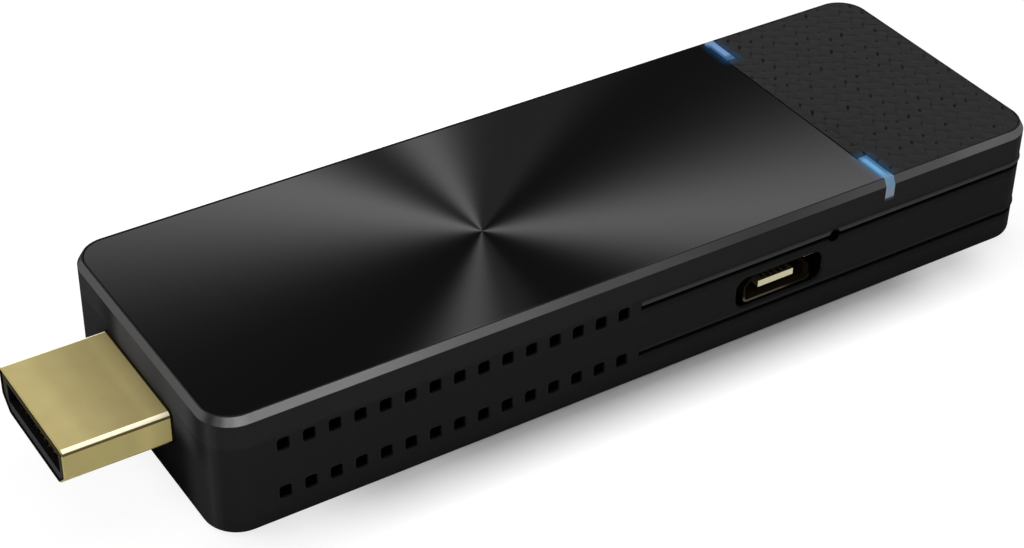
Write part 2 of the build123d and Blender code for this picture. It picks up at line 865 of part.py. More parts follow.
pieces = {
    "top_cover": top_cover,
    "middle_frame": middle_frame,
    "bottom_cover": bottom_cover,
    "spun_plate": spun_plate,
    "textured_panel": textured_panel,
    "plate_adhesive": plate_adhesive,
    "panel_adhesive": panel_adhesive,
    "near_light_bar": near_light_bar,
    "far_light_bar": far_light_bar,
    "near_light_source": near_light_source,
    "far_light_source": far_light_source,
    "main_board": main_board,
    "plug_shell": plug_shell,
    "plug_insulator": plug_insulator,
    "plug_contacts": plug_contacts,
    "plug_bracket": plug_bracket,
    "socket_shell": socket_shell,
    "socket_tongue": socket_tongue,
    "socket_contacts": socket_contacts,
    "reset_switch_base": reset_switch_base,
    "reset_switch_cover": reset_switch_cover,
    "reset_plunger": reset_plunger,
    "capacitors": capacitors,
    "memory_chips": memory_chips,
    "processor": processor,
    "thermal_pad": thermal_pad,
    "heat_spreader": heat_spreader,
    "flash_chip": flash_chip,
    "crystal": crystal,
    "power_chip": power_chip,
    "power_inductors": power_inductors,
    "radio_chip": radio_chip,
    "radio_shield": radio_shield,
    "near_antenna": near_antenna,
    "far_antenna": far_antenna,
    "housing_screws": housing_screws,
}

os.makedirs("parts", exist_ok=True)
for name, piece in pieces.items():
    piece.part.label = name
    export_step(piece.part, f"parts/{name}.step")
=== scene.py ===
import math

import bpy
import numpy as np
from mathutils import Matrix, Vector


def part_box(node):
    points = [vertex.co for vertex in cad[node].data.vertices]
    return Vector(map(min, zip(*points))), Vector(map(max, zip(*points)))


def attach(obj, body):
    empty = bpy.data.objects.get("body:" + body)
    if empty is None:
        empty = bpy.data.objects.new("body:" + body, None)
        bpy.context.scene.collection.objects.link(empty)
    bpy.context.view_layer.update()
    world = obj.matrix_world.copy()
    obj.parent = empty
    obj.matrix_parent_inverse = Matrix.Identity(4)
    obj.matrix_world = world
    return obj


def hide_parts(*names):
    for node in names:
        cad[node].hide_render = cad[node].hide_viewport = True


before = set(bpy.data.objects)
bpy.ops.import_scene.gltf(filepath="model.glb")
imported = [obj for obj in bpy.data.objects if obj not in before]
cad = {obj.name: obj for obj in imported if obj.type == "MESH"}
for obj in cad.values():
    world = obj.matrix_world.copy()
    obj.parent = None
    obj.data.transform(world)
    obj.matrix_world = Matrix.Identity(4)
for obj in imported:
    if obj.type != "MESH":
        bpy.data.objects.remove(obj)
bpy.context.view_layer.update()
scene = bpy.context.scene

# Camera: a long lens in front of the plug end and above the side with the socket. Its place comes
# from fitting the real outline of the body and the plug to the photograph.
camera_turn = math.radians(-32.673)
camera_tilt = math.radians(36.259)
camera_roll = math.radians(0.959)
camera_distance = 0.228001
picture_width = 1024
lens_in_pixels = 2339.292
aim = Vector((0.00506, 0.0, 0.0065))
aim_shift = (0.005650, 0.003442)
back = Vector((
    math.sin(camera_turn) * math.cos(camera_tilt),
    -math.cos(camera_turn) * math.cos(camera_tilt),
    math.sin(camera_tilt),
))
level = Vector((math.cos(camera_turn), math.sin(camera_turn), 0.0))
upright = back.cross(level)
right = level * math.cos(camera_roll) + upright * math.sin(camera_roll)
up = upright * math.cos(camera_roll) - level * math.sin(camera_roll)
place = aim - right * aim_shift[0] - up * aim_shift[1] + back * camera_distance
camera_data = bpy.data.cameras.new("studio_camera")
camera_data.sensor_width = 36.0
camera_data.lens = lens_in_pixels * camera_data.sensor_width / picture_width
camera_data.clip_start = 0.01
camera = bpy.data.objects.new("studio_camera", camera_data)
camera.matrix_world = Matrix.Translation(place) @ Matrix((right, up, back)).transposed().to_4x4()
scene.collection.objects.link(camera)
scene.camera = camera
scene.view_settings.view_transform = "Standard"

# Floor and room: white paper in a plain white room, both seen as white, also in the gold and the
# metal. The paper keeps the shadow of the long side, and a glow washes it out at both ends.
room_light = 0.22
room_white = (1.0, 1.0, 1.0, 1.0)
floor_half = 1.5
floor_gap = 0.00002
floor_white = (0.90, 0.90, 0.90, 1.0)
floor_glow = (
    (-0.060, 0.97), (-0.044, 0.94), (-0.034, 0.70), (-0.022, 0.22), (-0.012, 0.05), (0.000, 0.0),
    (0.020, 0.0), (0.032, 0.06), (0.040, 0.40), (0.047, 0.78), (0.056, 0.95),
)


def new_finish(name):
    """A new material, its node tree and its main shader."""
    finish = bpy.data.materials.new(name)
    finish.use_nodes = True
    return finish, finish.node_tree, finish.node_tree.nodes["Principled BSDF"]


def feed(tree, node, inputs):
    """Give a node its inputs, by name or number, as values or as sockets of other nodes."""
    for name, value in inputs.items():
        if isinstance(value, bpy.types.NodeSocket):
            tree.links.new(value, node.inputs[name])
        else:
            node.inputs[name].default_value = value


def put(tree, kind, inputs=None, **settings):
    """One more node in a tree, with its settings and its inputs."""
    node = tree.nodes.new(kind)
    for name, value in settings.items():
        setattr(node, name, value)
    feed(tree, node, inputs or {})
    return node


def calc(tree, operation, *terms):
    """The result of one sum on numbers or sockets."""
    return put(tree, "ShaderNodeMath", dict(enumerate(terms)), operation=operation).outputs[0]


def part_way(tree, value, start, end):
    """How far a value has come from a start to an end, from 0 to 1."""
    limits = {"Value": value, "From Min": start, "From Max": end}
    return put(tree, "ShaderNodeMapRange", limits).outputs["Result"]


def curve(tree, value, stops):
    """A grey level that goes smoothly through stops of (value, level)."""
    low, high = stops[0][0], stops[-1][0]
    node = put(tree, "ShaderNodeValToRGB", {"Fac": part_way(tree, value, low, high)})
    band = node.color_ramp
    band.interpolation = "EASE"
    while len(band.elements) < len(stops):
        band.elements.new(0.5)
    for stop, (there, grey) in zip(band.elements, stops):
        stop.position = (there - low) / (high - low)
        stop.color = (grey, grey, grey, 1.0)
    return node.outputs["Color"]


def split(tree, vector):
    """The X, Y and Z of a place or a direction."""
    return put(tree, "ShaderNodeSeparateXYZ", {0: vector}).outputs


def seen_directly(tree):
    """1 for rays from the camera, off gloss and through glass, which see the white room, else 0."""
    rays = put(tree, "ShaderNodeLightPath").outputs
    seen = calc(tree, "MAXIMUM", rays["Is Camera Ray"], rays["Is Glossy Ray"])
    return calc(tree, "MAXIMUM", seen, rays["Is Transmission Ray"])


def mesh_piece(name, points, faces, finish):
    """A mesh object at the origin, with its place in its points."""
    mesh = bpy.data.meshes.new(name)
    mesh.from_pydata([tuple(point) for point in points], [], [tuple(face) for face in faces])
    mesh.materials.append(finish)
    piece = bpy.data.objects.new(name, mesh)
    scene.collection.objects.link(piece)
    return piece


room = bpy.data.worlds.new("white_room")
room.use_nodes = True
scene.world = room
tree = room.node_tree
strength = put(tree, "ShaderNodeMix", {"Factor": seen_directly(tree), "A": room_light, "B": 1.0})
feed(tree, tree.nodes["Background"], {"Color": room_white, "Strength": strength.outputs["Result"]})

white_paper, tree, shader = new_finish("white_paper")
feed(tree, shader, {"Base Color": floor_white, "Roughness": 1.0, "Specular IOR Level": 0.0})
axes = split(tree, put(tree, "ShaderNodeTexCoord").outputs["Object"])
glow = calc(tree, "MULTIPLY", seen_directly(tree), curve(tree, axes["X"], floor_glow))
white_light = put(tree, "ShaderNodeEmission").outputs[0]
paper = put(tree, "ShaderNodeMixShader", {0: glow, 1: shader.outputs[0], 2: white_light}).outputs[0]
from_below = put(tree, "ShaderNodeNewGeometry").outputs["Backfacing"]
clear = put(tree, "ShaderNodeBsdfTransparent").outputs[0]
paper = put(tree, "ShaderNodeMixShader", {0: from_below, 1: paper, 2: clear}).outputs[0]
feed(tree, tree.nodes["Material Output"], {"Surface": paper})
floor_corners = [
    (x * floor_half, y * floor_half, -floor_gap) for x, y in ((-1, -1), (1, -1), (1, 1), (-1, 1))
]
mesh_piece("floor", floor_corners, [(0, 1, 2, 3)], white_paper)

# Lamps: soft boxes. The large one over the far side throws the soft shadow to the near side, and
# two weak ones brighten the near side and the gold of the plug end.
for lamp_name, lamp_place, lamp_width, lamp_depth, lamp_power, shines_in_gloss in (
    ("overhead_softbox", (0.0, 0.18, 0.62), 1.40, 0.36, 7.6, False),
    ("near_strip", (-0.12, -0.36, 0.41), 0.50, 0.07, 0.65, True),
    ("plug_end_softbox", (-0.40, -0.40, 0.22), 0.25, 0.25, 0.16, True),
):
    lamp = bpy.data.lights.new(lamp_name, "AREA")
    lamp.shape = "RECTANGLE"
    lamp.size = lamp_width
    lamp.size_y = lamp_depth
    lamp.energy = lamp_power
    lamp_stand = bpy.data.objects.new(lamp_name, lamp)
    lamp_stand.location = lamp_place
    lamp_stand.visible_glossy = shines_in_gloss
    lamp_stand.rotation_euler = (aim - Vector(lamp_place)).to_track_quat("-Z", "Y").to_euler()
    scene.collection.objects.link(lamp_stand)

# Housing: three black mouldings, screwed together. Their walls have the fine matte grain of a
# spark eroded mould. Painted light and shade lie in their colour: painted highlights on the bevel
# round the top and on the lips over both grooves, painted light on the front face, the corners,
# the upper walls and the underside, and painted shade below the grooves, round the reset hole and
# on the faces behind the walls.
housing_dark = (0.0114, 0.0114, 0.0118)
housing_pale = (0.0172, 0.0172, 0.0176)
slope_facing = (0.1, 0.95)
bevel_from = 0.01225
bevel_slope = 0.875
# Painted highlight on the bevel, set along the body and by the way it faces round the corners.
bevel_highlight_along = (
    (0.0, 0.21), (0.012, 0.21), (0.027, 0.12), (0.040, 0.075), (0.058, 0.047), (0.078, 0.085),
    (0.084, 0.120), (0.0915, 0.110),
)
bevel_highlight_round = ((0.0, 1.0), (0.26, 1.24), (0.50, 0.88), (0.71, 0.33), (0.87, 0.12), (1.0, 0.37))
# Painted highlight on the lips over both grooves, set by height.
lip_highlight = (
    (0.0034, 0.010), (0.0036, 0.018), (0.0039, 0.018), (0.0042, 0.010), (0.0086, 0.010),
    (0.0089, 0.014), (0.00912, 0.048), (0.00932, 0.040), (0.0095, 0.010), (0.0130, 0.010),
)
# Painted shade in and under both grooves, and painted light on the wall above the upper one.
groove_shade_and_top_light = (
    (0.0023, 1.0), (0.0031, 0.80), (0.0036, 0.90), (0.0042, 1.0), (0.0076, 1.0), (0.0084, 0.80),
    (0.0089, 0.90), (0.0094, 1.0), (0.0100, 1.25), (0.0130, 1.25),
)
grooves_from = 0.0028
# Painted light and shade on the walls and their rounded corners, by the way they face.
corner_light_by_facing = (
    (-0.92, 2.0), (-0.82, 1.25), (-0.70, 0.92), (-0.25, 1.0), (0.15, 1.0), (0.50, 1.7),
    (0.80, 1.7), (0.98, 1.0),
)
# Painted light and shade on the front face, set across it near the bottom and near the top.
front_facing = ((-0.99, 1.0), (-0.84, 0.0))
front_light_low = ((-0.0112, 1.30), (-0.0080, 0.55), (0.0, 0.42), (0.0070, 0.60), (0.0100, 1.60))
front_light_high = (
    (-0.0125, 0.9), (-0.0095, 3.0), (-0.0050, 3.1), (0.0, 4.1), (0.0032, 4.0), (0.0058, 1.2),
    (0.0090, 1.75),
)
front_low_to_high = ((0.0065, 0.0), (0.0092, 1.0))
# Painted light on the underside.
underside_facing = -0.9
underside_light = 1.8
# Painted shade round the reset hole, on the near side only.
reset_hole = (0.02540, 0.00875)
hole_shade = ((0.00055, 0.0), (0.00085, 1.0))
housing_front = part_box("top_cover")[0].x
housing_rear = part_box("top_cover")[1].x
# Painted shade on the faces behind the walls, inside the housing.
end_wall = 0.0036
inside_length = (housing_front + end_wall, housing_rear - end_wall)
inside_half = 0.01500
inside_height = (0.001, 0.0115)
inside_shade = (0.0012, 0.0012, 0.0012)


def coat(finish, *names):
    """Give a finish to CAD nodes."""
    for name in names:
        for material_slot in cad[name].material_slots:
            material_slot.material = finish


def place_on(tree, turn=0.0, stretch=(1.0, 1.0, 1.0), centre=(0.0, 0.0, 0.0)):
    """Places on the piece, moved to a centre, stretched and turned about the upright axis."""
    spin = Matrix.Rotation(turn, 3, "Z")
    return put(tree, "ShaderNodeMapping", {
        "Vector": put(tree, "ShaderNodeTexCoord").outputs["Object"],
        "Location": spin @ Vector(tuple(-c * s for c, s in zip(centre, stretch))),
        "Rotation": (0.0, 0.0, turn),
        "Scale": stretch,
    }).outputs[0]


def facing_of(tree):
    """The way that the surface faces, as X, Y and Z."""
    return split(tree, put(tree, "ShaderNodeNewGeometry").outputs["Normal"])


def grain(tree, where, size, detail=3.0):
    """Height of a fine random grain, from 0 to 1."""
    noise = {"Vector": where, "Scale": 1.0 / size, "Detail": detail}
    return put(tree, "ShaderNodeTexNoise", noise).outputs["Fac"]


def bumps(tree, shader, height, depth):
    """Let a height raise the surface by up to a depth."""
    bump = put(tree, "ShaderNodeBump", {"Height": height, "Distance": depth})
    feed(tree, shader, {"Normal": bump.outputs["Normal"]})


def between(tree, share, low, high):
    """A number that goes from low to high as a share goes from 0 to 1."""
    limits = {"Value": share, "To Min": low, "To Max": high}
    return put(tree, "ShaderNodeMapRange", limits).outputs["Result"]


def blended(tree, share, first, second):
    """A colour between two, each given as red, green and blue or as a socket."""
    mix = put(tree, "ShaderNodeMix", {"Factor": share}, data_type="RGBA")
    for label, colour in (("A", first), ("B", second)):
        socket = next(s for s in mix.inputs if s.name == label and s.type == "RGBA")
        if isinstance(colour, bpy.types.NodeSocket):
            tree.links.new(colour, socket)
        else:
            socket.default_value = (*colour, 1.0)
    return next(s for s in mix.outputs if s.type == "RGBA")


def inside(tree, value, low, high):
    """1 where a value lies between two limits, else 0."""
    above = calc(tree, "GREATER_THAN", value, low)
    return calc(tree, "MULTIPLY", above, calc(tree, "LESS_THAN", value, high))


def times(tree, colour, level):
    """A colour made darker or lighter by a number, by three of them, or by a socket."""
    if isinstance(level, float):
        level = (level, level, level)
    return put(tree, "ShaderNodeVectorMath", {0: colour, 1: level}, operation="MULTIPLY").outputs[0]


def distance(tree, first, second):
    """The distance that two distances at right angles make."""
    squares = calc(tree, "MULTIPLY", first, first), calc(tree, "MULTIPLY", second, second)
    return calc(tree, "SQRT", calc(tree, "ADD", *squares))


def grained(
    name, dark, pale, size, roughness,
    detail=3.0, stretch=(1.0, 1.0, 1.0), depth=0.0, metallic=0.0, specular=0.5,
):
    """A finish with a fine grain, its tree and shader, its colour and the height of its grain."""
    finish, tree, shader = new_finish(name)
    height = grain(tree, place_on(tree, stretch=stretch), size, detail)
    colour = blended(tree, height, dark, pale)
    if isinstance(roughness, tuple):
        roughness = between(tree, height, *roughness)
    feed(tree, shader, {
        "Base Color": colour, "Roughness": roughness,
        "Metallic": metallic, "Specular IOR Level": specular,
    })
    if depth:
        bumps(tree, shader, height, depth)
    return finish, tree, shader, colour, height


housing_black, tree, shader, moulded, _ = grained(
    "housing_black", housing_dark, housing_pale, size=0.00020, roughness=(0.45, 0.60),
    depth=0.000010, specular=0.0,
)
axes = split(tree, place_on(tree))
facing = facing_of(tree)
# Painted light and shade on the front face, and by facing on the walls and corners.
front_light = blended(
    tree, curve(tree, axes["Z"], front_low_to_high),
    curve(tree, axes["Y"], front_light_low), curve(tree, axes["Y"], front_light_high),
)
on_front = curve(tree, facing["X"], front_facing)
painted_light_level = blended(tree, on_front, curve(tree, facing["X"], corner_light_by_facing), front_light)
moulded = times(tree, moulded, painted_light_level)
# Painted light on the underside.
on_underside = calc(tree, "LESS_THAN", facing["Z"], underside_facing)
moulded = blended(tree, on_underside, moulded, times(tree, moulded, underside_light))
# The painted shade and light of the grooves lie only behind the vents.
before_grooves = calc(tree, "LESS_THAN", axes["X"], grooves_from)
shade = calc(tree, "MAXIMUM", curve(tree, axes["Z"], groove_shade_and_top_light), before_grooves)
on_slope = inside(tree, facing["Z"], *slope_facing)
# On the sloped faces the painted highlight of the lips replaces the wall colour.
colour = blended(tree, on_slope, times(tree, moulded, shade), curve(tree, axes["Z"], lip_highlight))
# Painted shade round the reset hole.
from_hole = distance(
    tree, calc(tree, "SUBTRACT", axes["X"], reset_hole[0]),
    calc(tree, "SUBTRACT", axes["Z"], reset_hole[1]),
)
from_hole = calc(tree, "MAXIMUM", from_hole, axes["Y"])
colour = times(tree, colour, curve(tree, from_hole, hole_shade))
from_front = calc(tree, "SUBTRACT", axes["X"], housing_front)
to_plug_end = calc(tree, "MULTIPLY", facing["X"], -1.0 / bevel_slope)
# Painted highlight on the bevel round the top.
bevel_highlight = times(
    tree, curve(tree, from_front, bevel_highlight_along), curve(tree, to_plug_end, bevel_highlight_round)
)
on_bevel = calc(tree, "MULTIPLY", calc(tree, "GREATER_THAN", axes["Z"], bevel_from), on_slope)
colour = blended(tree, on_bevel, colour, bevel_highlight)
# Painted shade on the faces behind the walls.
behind_walls = calc(tree, "LESS_THAN", calc(tree, "ABSOLUTE", axes["Y"]), inside_half)
for axis, limits in (("X", inside_length), ("Z", inside_height)):
    behind_walls = calc(tree, "MULTIPLY", behind_walls, inside(tree, axes[axis], *limits))
feed(tree, shader, {"Base Color": blended(tree, behind_walls, colour, inside_shade)})
coat(housing_black, "top_cover", "middle_frame", "bottom_cover")

# Circuit board: glass cloth laminate under dark green solder resist, with copper runs that show
# through it, plated through holes and bare laminate at its cut edges.
resist_green = (0.010, 0.060, 0.034)
run_green = (0.022, 0.120, 0.066)
run_turn = 0.785
run_sizes = {"Scale": 400.0, "Mortar Size": 0.06, "Mortar Smooth": 0.1}
run_height = 0.00002
plated_hole = (0.55, 0.42, 0.16)
hole_spacing = {"Scale": 420.0, "Randomness": 0.8}
hole_reach = 0.13
laminate_dark = (0.16, 0.15, 0.07)
laminate_pale = (0.30, 0.27, 0.13)
cloth_size = 0.0006
board_roughness = (0.25, 0.42)
upright_facing = 0.5


def on_upright(tree):
    """1 on faces that stand upright, else 0."""
    return calc(tree, "LESS_THAN", calc(tree, "ABSOLUTE", facing_of(tree)["Z"]), upright_facing)


solder_resist, tree, shader = new_finish("solder_resist")
runs = put(
    tree, "ShaderNodeTexBrick", {"Vector": place_on(tree, turn=run_turn), **run_sizes}
).outputs["Fac"]
holes = put(
    tree, "ShaderNodeTexVoronoi", {"Vector": place_on(tree), **hole_spacing}
).outputs["Distance"]
on_hole = calc(tree, "LESS_THAN", holes, hole_reach)
cloth = grain(tree, place_on(tree), cloth_size, detail=2.0)
resist = blended(tree, on_hole, blended(tree, runs, resist_green, run_green), plated_hole)
laminate = blended(tree, cloth, laminate_dark, laminate_pale)
feed(tree, shader, {
    "Base Color": blended(tree, on_upright(tree), resist, laminate),
    "Metallic": on_hole,
    "Roughness": between(tree, cloth, *board_roughness),
})
bumps(tree, shader, runs, run_height)
coat(solder_resist, "main_board")

# Chips: black moulded packages, soldered down flat. Each has a fine matte grain and a round smooth
# mark in the corner by its first contact, and carries no lettering.
package_dark = (0.018, 0.018, 0.019)
package_pale = (0.032, 0.032, 0.034)
package_roughness = 0.62
mark_black = (0.055, 0.055, 0.058)
mark_roughness = 0.35
mark_radius = 0.00035
mark_inset = 0.0010


def package_black(name, corners):
    """Black moulded package with a round mark at each of the given corners."""
    finish, tree, shader, plain, _ = grained(
        name, package_dark, package_pale, size=0.00012, roughness=package_roughness,
        depth=0.000006, specular=0.3,
    )
    axes = split(tree, place_on(tree))
    marks = 0.0
    for x, y in corners:
        away = distance(
            tree, calc(tree, "SUBTRACT", axes["X"], x), calc(tree, "SUBTRACT", axes["Y"], y)
        )
        marks = calc(tree, "MAXIMUM", calc(tree, "LESS_THAN", away, mark_radius), marks)
    feed(tree, shader, {
        "Base Color": blended(tree, marks, plain, mark_black),
        "Roughness": between(tree, marks, package_roughness, mark_roughness),
    })
    return finish


for chip in ("processor", "memory_chips", "flash_chip", "power_chip", "radio_chip"):
    low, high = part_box(chip)
    corners = [(low.x + mark_inset, low.y + mark_inset)]
    if chip == "memory_chips":
        corners.append((low.x + mark_inset, high.y - mark_inset))
    coat(package_black(chip + "_package", corners), chip)

# Small parts on the board: ceramic capacitors with tinned ends, pressed ferrite inductors and the
# crystal in its plated can.
ceramic_dark = (0.30, 0.20, 0.12)
ceramic_pale = (0.42, 0.30, 0.19)
capacitor_tin = (0.62, 0.61, 0.58)
capacitor_end = 0.00022
capacitor_low, capacitor_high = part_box("capacitors")
ceramic, tree, shader, fired, _ = grained(
    "capacitor_ceramic", ceramic_dark, ceramic_pale, size=0.00008, detail=2.0,
    roughness=(0.30, 0.50), depth=0.000005,
)
across = split(tree, place_on(tree))["X"]
near_end = calc(tree, "LESS_THAN", across, capacitor_low.x + capacitor_end)
far_end = calc(tree, "GREATER_THAN", across, capacitor_high.x - capacitor_end)
on_end = calc(tree, "MAXIMUM", near_end, far_end)
feed(tree, shader, {"Base Color": blended(tree, on_end, fired, capacitor_tin), "Metallic": on_end})
coat(ceramic, "capacitors")

ferrite, *_ = grained(
    "inductor_ferrite", dark=(0.05, 0.05, 0.055), pale=(0.14, 0.14, 0.145), size=0.00015,
    detail=4.0, roughness=(0.60, 0.80), depth=0.00002,
)
coat(ferrite, "power_inductors")

can_plating = (0.62, 0.60, 0.55)
can_lines = 0.0008
can_roughness = (0.18, 0.38)
can_foot_plating = (0.55, 0.42, 0.20)
can_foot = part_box("crystal")[0].z + 0.0002
crystal_can, tree, shader = new_finish("crystal_can")
lines = grain(tree, place_on(tree, stretch=(1.0, 12.0, 12.0)), can_lines, detail=2.0)
on_foot = calc(tree, "LESS_THAN", split(tree, place_on(tree))["Z"], can_foot)
feed(tree, shader, {
    "Base Color": blended(tree, on_foot, can_plating, can_foot_plating),
    "Metallic": 1.0,
    "Roughness": between(tree, lines, *can_roughness),
})
coat(crystal_can, "crystal")

# Cooling: a soft blue pad on the processor and a milled aluminium plate that carries its heat to
# the cover. The pad is tacky and speckled, and the plate has the round marks of a face mill.
pad_blue, *_ = grained(
    "soft_pad", dark=(0.20, 0.30, 0.42), pale=(0.34, 0.46, 0.58), size=0.0002, detail=4.0,
    roughness=0.85, depth=0.00004,
)
coat(pad_blue, "thermal_pad")

milled_dark = (0.50, 0.50, 0.51)
milled_pale = (0.68, 0.68, 0.69)
milled_roughness = (0.28, 0.42)
mill_centre = (-0.06, 0.0, 0.0)
mill_sizes = {"Scale": 700.0, "Distortion": 0.6}
mill_depth = 0.000008
milled_aluminium, tree, shader = new_finish("milled_aluminium")
mill_marks = put(
    tree, "ShaderNodeTexWave", {"Vector": place_on(tree, centre=mill_centre), **mill_sizes},
    wave_type="RINGS", rings_direction="Z",
).outputs["Fac"]
feed(tree, shader, {
    "Base Color": blended(tree, mill_marks, milled_dark, milled_pale),
    "Metallic": 1.0,
    "Roughness": between(tree, mill_marks, *milled_roughness),
})
bumps(tree, shader, mill_marks, mill_depth)
coat(milled_aluminium, "heat_spreader")

# Sheet metal: tinned steel, blanked and bent, soldered to the board. It is the can over the radio,
# with its rows of small holes, the saddle of the plug, the cover of the switch and both antennas.
tin_dark = (0.46, 0.46, 0.45)
tin_pale = (0.64, 0.64, 0.62)
# The holes of the can are dots of painted shade.
can_hole_shade = (0.012, 0.012, 0.012)
can_hole_pitch = 0.0018
can_hole_radius = 0.00035


def tinned_steel(name, holes_pitch=0.0):
    """Tinned sheet with faint rolling lines; a given pitch adds rows of holes in painted shade."""
    finish, tree, shader, tinned, _ = grained(
        name, tin_dark, tin_pale, size=0.0009, stretch=(1.0, 14.0, 14.0),
        roughness=(0.22, 0.40), depth=0.000006, metallic=1.0,
    )
    if holes_pitch:
        axes = split(tree, place_on(tree))
        off_hole = []
        for axis in "XY":
            in_cell = calc(tree, "MODULO", calc(tree, "ABSOLUTE", axes[axis]), holes_pitch)
            off_hole.append(calc(tree, "SUBTRACT", in_cell, holes_pitch / 2))
        on_hole = calc(tree, "LESS_THAN", distance(tree, *off_hole), can_hole_radius)
        feed(tree, shader, {"Base Color": blended(tree, on_hole, tinned, can_hole_shade)})
    return finish


tinned_sheet = tinned_steel("tinned_sheet")
coat(tinned_sheet, "plug_bracket", "reset_switch_cover", "near_antenna", "far_antenna")
coat(tinned_steel("pierced_can", can_hole_pitch), "radio_shield")

# Video plug: a shell folded from sheet and plated with pale gold, round a black moulded insulator.
# The gold is satin, with faint drawing lines. Its colour carries painted light along the top and
# the sides, a painted highlight on its long rounded edges with a painted shade line under it, and
# painted shade inside and at its root. The faces of its mouth are dark.
gold_dull = (0.408, 0.338, 0.150)
gold_clear = (0.480, 0.402, 0.180)
gold_cloud = 0.0024
gold_lines = 0.0011
gold_line_depth = 0.000004
gold_roughness = (0.30, 0.42)
gold_gloss = 0.25
# Painted light along the top and the sides of the plug, from its root to its tip.
gold_light_along = (
    (0.0, 0.72), (0.0017, 0.64), (0.0028, 0.56), (0.0040, 0.58), (0.0063, 0.69), (0.0086, 0.83),
    (0.0103, 0.83),
)
side_painted_gold = (0.420, 0.358, 0.148)
side_light_along = ((0.0, 1.60), (0.0020, 1.40), (0.0040, 1.05), (0.0070, 1.00), (0.0103, 0.94))
# Painted highlight on the long rounded edges, and a painted shade line under it.
gold_highlight = (0.930, 0.850, 0.620)
highlight_facing = (0.53, 0.99)
rounding_facing = -0.3
gold_shade = (0.110, 0.085, 0.035)
shade_facing = (0.03, 0.48)
# The faces of the mouth are dark, and painted shade lies along the root and on the inner faces.
gold_dark_mouth_root_shade = (0.012, 0.010, 0.004)
mouth_facing = -0.8
root_line = 0.00022
gold_inside_shade = (0.006, 0.005, 0.003)
tube_inwards = -0.0005
plug_low, plug_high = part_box("plug_shell")


def faces_in(tree, middles):
    """1 on the inner faces of a tube with its middle line at the given places across it, else 0."""
    axes = split(tree, place_on(tree))
    facing = facing_of(tree)
    outwards = 0.0
    for axis, middle in middles.items():
        off_middle = calc(tree, "SUBTRACT", axes[axis], middle)
        outwards = calc(tree, "MULTIPLY_ADD", off_middle, facing[axis], outwards)
    return calc(tree, "LESS_THAN", outwards, tube_inwards)


def gold_plating(name, stretch):
    """Satin gold, its lines long where the stretch is small: finish, tree, shader and colour."""
    finish, tree, shader = new_finish(name)
    lines = grain(tree, place_on(tree, stretch=stretch), gold_lines, detail=4.0)
    cloud = grain(tree, place_on(tree), gold_cloud, detail=2.0)
    feed(tree, shader, {
        "Roughness": between(tree, lines, *gold_roughness), "Specular IOR Level": 0.0,
    })
    bumps(tree, shader, lines, gold_line_depth)
    return finish, tree, shader, blended(tree, cloud, gold_dull, gold_clear)


plug_gold, tree, shader, satin = gold_plating("plug_gold", (1.0, 9.0, 9.0))
facing = facing_of(tree)
on_side = on_upright(tree)
from_root = calc(tree, "SUBTRACT", housing_front, split(tree, place_on(tree))["X"])
# Painted light along the plug, on its top and on its sides.
painted_light_level = blended(
    tree, on_side, curve(tree, from_root, gold_light_along), curve(tree, from_root, side_light_along)
)
plated = times(tree, blended(tree, on_side, satin, side_painted_gold), painted_light_level)
# Painted highlight on the rounded edges, then the painted shade line.
edge_highlight = calc(
    tree, "MULTIPLY", inside(tree, facing["Z"], *highlight_facing),
    calc(tree, "GREATER_THAN", facing["X"], rounding_facing),
)
plated = blended(tree, edge_highlight, plated, gold_highlight)
plated = blended(tree, inside(tree, facing["Z"], *shade_facing), plated, gold_shade)
# Dark mouth faces, painted shade at the root and painted shade inside.
on_mouth = calc(tree, "LESS_THAN", facing["X"], mouth_facing)
dark_mouth_root_shade = calc(tree, "MAXIMUM", on_mouth, calc(tree, "LESS_THAN", from_root, root_line))
inner = faces_in(tree, {"Y": 0.0, "Z": (plug_low.z + plug_high.z) / 2})
plated = blended(tree, inner, blended(tree, dark_mouth_root_shade, plated, gold_dark_mouth_root_shade), gold_inside_shade)
without_gloss = calc(tree, "MAXIMUM", dark_mouth_root_shade, inner)
feed(tree, shader, {
    "Base Color": plated, "Metallic": between(tree, without_gloss, gold_gloss, 0.0),
})
coat(plug_gold, "plug_shell")

# Painted light on the front rim of the insulator, warmer at the top and bluer at the bottom.
rim_light_upper = (0.044, 0.040, 0.020)
rim_light_lower = (0.038, 0.040, 0.044)
rim_low_to_high = ((plug_low.z, 0.0), (plug_high.z, 1.0))
insulator_black, tree, shader, moulded, _ = grained(
    "insulator_black", dark=(0.003, 0.003, 0.003), pale=(0.007, 0.007, 0.007), size=0.00015,
    roughness=(0.40, 0.55), depth=0.000006, specular=0.0,
)
upwards = curve(tree, split(tree, place_on(tree))["Z"], rim_low_to_high)
rim_light = blended(tree, upwards, rim_light_lower, rim_light_upper)
on_rim = calc(tree, "LESS_THAN", facing_of(tree)["X"], mouth_facing)
feed(tree, shader, {"Base Color": blended(tree, on_rim, moulded, rim_light)})
coat(insulator_black, "plug_insulator")

# Contacts: strips of copper alloy with bright gold on them. The nineteen of the plug are springs,
# bent into its slot from above and below, and the five of the socket lie flush in the top of its
# tongue.
contact_bright, *_ = grained(
    "contact_gold", dark=(0.60, 0.44, 0.17), pale=(0.80, 0.64, 0.30), size=0.0008,
    stretch=(1.0, 6.0, 6.0), roughness=(0.16, 0.30), metallic=1.0,
)
coat(contact_bright, "socket_contacts")

contact_low, contact_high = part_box("plug_contacts")
contact_pitch = 0.0010
contact_width = 0.00045
contact_thickness = 0.00020
contact_bow = 0.00032
contact_bow_start = 0.0042
contact_bow_steps = 24
contact_counts = (10, 9)


